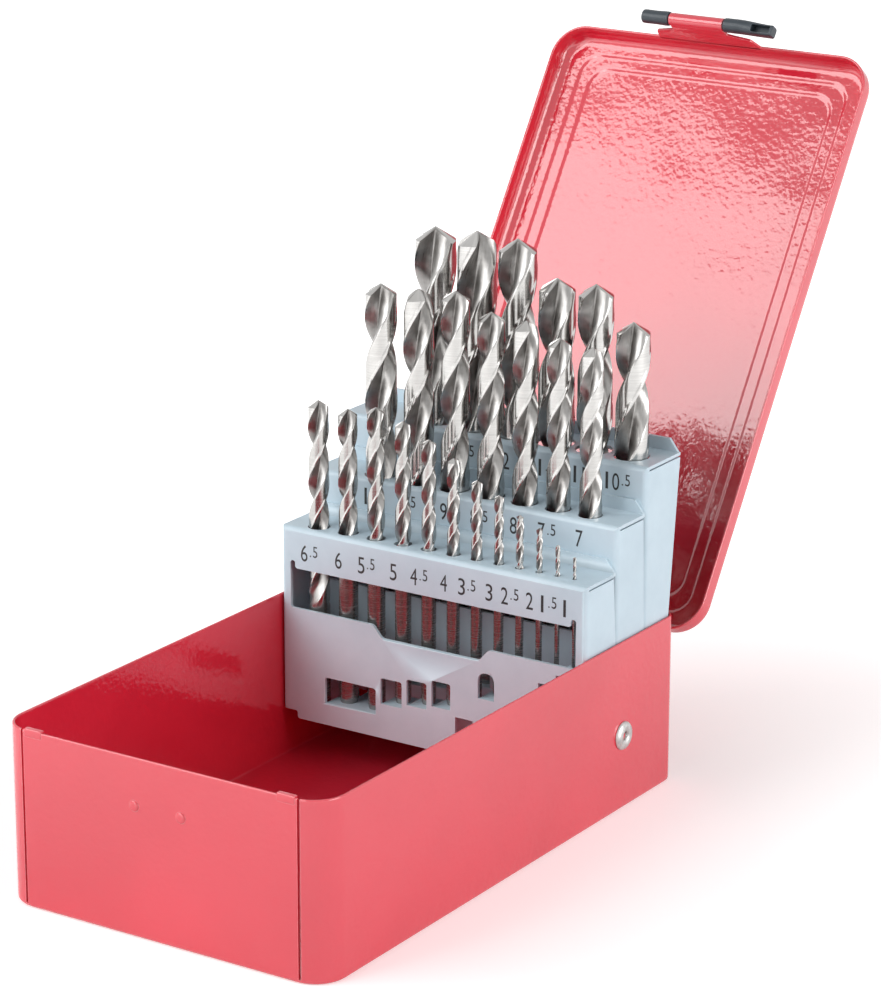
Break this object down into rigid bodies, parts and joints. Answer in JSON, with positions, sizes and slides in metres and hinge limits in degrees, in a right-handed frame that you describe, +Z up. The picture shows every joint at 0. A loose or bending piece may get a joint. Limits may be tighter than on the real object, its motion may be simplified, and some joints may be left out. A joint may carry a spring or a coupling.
{
  "type": "drill bit case",
  "caption": "Folded sheet-steel case with a hinged lid and clip latch, and a stepped holder that swings out with a graded set of twist drills.",
  "frame": {"origin": "centre of the tray's flat underside", "axes": "+Z up, +X across the case, +Y from the latch side to the hinge side; lid open and holder upright at rest"},
  "size_m": [0.116, 0.308, 0.2168],
  "materials": {
    "red_paint": "gloss enamel with fine orange peel",
    "pale_paint": "satin pale blue-grey coating",
    "drill_steel": "ground bright steel",
    "plain_steel": "plain steel",
    "dark_clip": "dark satin"
  },
  "bodies": {
    "base": {"base_tray": "red_paint", "base_hinge_leaf": "red_paint", "hinge_pin": "plain_steel", "pivot_rivets": "plain_steel"},
    "holder": {"holder_front": "pale_paint", "holder_middle": "pale_paint", "holder_back": "pale_paint"},
    "lid": {"lid_tray": "red_paint", "lid_hinge_leaf": "red_paint"},
    "latch": {"latch_clip": "dark_clip", "latch_pin": "plain_steel"},
    "drill_6_5": {"drill_6_5": "drill_steel"},
    "drill_6_0": {"drill_6_0": "drill_steel"},
    "drill_5_5": {"drill_5_5": "drill_steel"},
    "drill_5_0": {"drill_5_0": "drill_steel"},
    "drill_4_5": {"drill_4_5": "drill_steel"},
    "drill_4_0": {"drill_4_0": "drill_steel"},
    "drill_3_5": {"drill_3_5": "drill_steel"},
    "drill_3_0": {"drill_3_0": "drill_steel"},
    "drill_2_5": {"drill_2_5": "drill_steel"},
    "drill_2_0": {"drill_2_0": "drill_steel"},
    "drill_1_5": {"drill_1_5": "drill_steel"},
    "drill_1_0": {"drill_1_0": "drill_steel"},
    "drill_10_0": {"drill_10_0": "drill_steel"},
    "drill_9_5": {"drill_9_5": "drill_steel"},
    "drill_9_0": {"drill_9_0": "drill_steel"},
    "drill_8_5": {"drill_8_5": "drill_steel"},
    "drill_8_0": {"drill_8_0": "drill_steel"},
    "drill_7_5": {"drill_7_5": "drill_steel"},
    "drill_7_0": {"drill_7_0": "drill_steel"},
    "drill_13_0": {"drill_13_0": "drill_steel"},
    "drill_12_5": {"drill_12_5": "drill_steel"},
    "drill_12_0": {"drill_12_0": "drill_steel"},
    "drill_11_5": {"drill_11_5": "drill_steel"},
    "drill_11_0": {"drill_11_0": "drill_steel"},
    "drill_10_5": {"drill_10_5": "drill_steel"}
  },
  "joints": [
    {"name": "holder_pivot", "type": "hinge", "parent": "base", "child": "holder", "pos_m": [0, 0.0623, 0.024], "axis": [-1, 0, 0], "range_deg": [-90, 0]},
    {"name": "lid_hinge", "type": "hinge", "parent": "base", "child": "lid", "pos_m": [0, 0.0979, 0.0473], "axis": [-1, 0, 0], "range_deg": [-123.5, 0]},
    {"name": "latch_turn", "type": "hinge", "parent": "lid", "child": "latch", "pos_m": [-0.001, 0.19955, 0.2141], "axis": [1, 0, 0], "range_deg": [0, 50]},
    {"name": "lift_6_5", "type": "slide", "parent": "holder", "child": "drill_6_5", "axis": [0, 0, 1], "range_m": [0, 0.061]},
    {"name": "lift_6_0", "type": "slide", "parent": "holder", "child": "drill_6_0", "axis": [0, 0, 1], "range_m": [0, 0.055]},
    {"name": "lift_5_5", "type": "slide", "parent": "holder", "child": "drill_5_5", "axis": [0, 0, 1], "range_m": [0, 0.055]},
    {"name": "lift_5_0", "type": "slide", "parent": "holder", "child": "drill_5_0", "axis": [0, 0, 1], "range_m": [0, 0.051]},
    {"name": "lift_4_5", "type": "slide", "parent": "holder", "child": "drill_4_5", "axis": [0, 0, 1], "range_m": [0, 0.0495]},
    {"name": "lift_4_0", "type": "slide", "parent": "holder", "child": "drill_4_0", "axis": [0, 0, 1], "range_m": [0, 0.048]},
    {"name": "lift_3_5", "type": "slide", "parent": "holder", "child": "drill_3_5", "axis": [0, 0, 1], "range_m": [0, 0.0487]},
    {"name": "lift_3_0", "type": "slide", "parent": "holder", "child": "drill_3_0", "axis": [0, 0, 1], "range_m": [0, 0.0419]},
    {"name": "lift_2_5", "type": "slide", "parent": "holder", "child": "drill_2_5", "axis": [0, 0, 1], "range_m": [0, 0.0435]},
    {"name": "lift_2_0", "type": "slide", "parent": "holder", "child": "drill_2_0", "axis": [0, 0, 1], "range_m": [0, 0.0385]},
    {"name": "lift_1_5", "type": "slide", "parent": "holder", "child": "drill_1_5", "axis": [0, 0, 1], "range_m": [0, 0.0317]},
    {"name": "lift_1_0", "type": "slide", "parent": "holder", "child": "drill_1_0", "axis": [0, 0, 1], "range_m": [0, 0.0281]},
    {"name": "lift_10_0", "type": "slide", "parent": "holder", "child": "drill_10_0", "axis": [0, 0, 1], "range_m": [0, 0.0723]},
    {"name": "lift_9_5", "type": "slide", "parent": "holder", "child": "drill_9_5", "axis": [0, 0, 1], "range_m": [0, 0.064]},
    {"name": "lift_9_0", "type": "slide", "parent": "holder", "child": "drill_9_0", "axis": [0, 0, 1], "range_m": [0, 0.0628]},
    {"name": "lift_8_5", "type": "slide", "parent": "holder", "child": "drill_8_5", "axis": [0, 0, 1], "range_m": [0, 0.0595]},
    {"name": "lift_8_0", "type": "slide", "parent": "holder", "child": "drill_8_0", "axis": [0, 0, 1], "range_m": [0, 0.0604]},
    {"name": "lift_7_5", "type": "slide", "parent": "holder", "child": "drill_7_5", "axis": [0, 0, 1], "range_m": [0, 0.0561]},
    {"name": "lift_7_0", "type": "slide", "parent": "holder", "child": "drill_7_0", "axis": [0, 0, 1], "range_m": [0, 0.0572]},
    {"name": "lift_13_0", "type": "slide", "parent": "holder", "child": "drill_13_0", "axis": [0, 0, 1], "range_m": [0, 0.0901]},
    {"name": "lift_12_5", "type": "slide", "parent": "holder", "child": "drill_12_5", "axis": [0, 0, 1], "range_m": [0, 0.0901]},
    {"name": "lift_12_0", "type": "slide", "parent": "holder", "child": "drill_12_0", "axis": [0, 0, 1], "range_m": [0, 0.0901]},
    {"name": "lift_11_5", "type": "slide", "parent": "holder", "child": "drill_11_5", "axis": [0, 0, 1], "range_m": [0, 0.0901]},
    {"name": "lift_11_0", "type": "slide", "parent": "holder", "child": "drill_11_0", "axis": [0, 0, 1], "range_m": [0, 0.0901]},
    {"name": "lift_10_5", "type": "slide", "parent": "holder", "child": "drill_10_5", "axis": [0, 0, 1], "range_m": [0, 0.0901]}
  ],
  "couplings": [
    {"joint": "lid_hinge", "follows": "holder_pivot", "ratio": 1.3722}
  ]
}
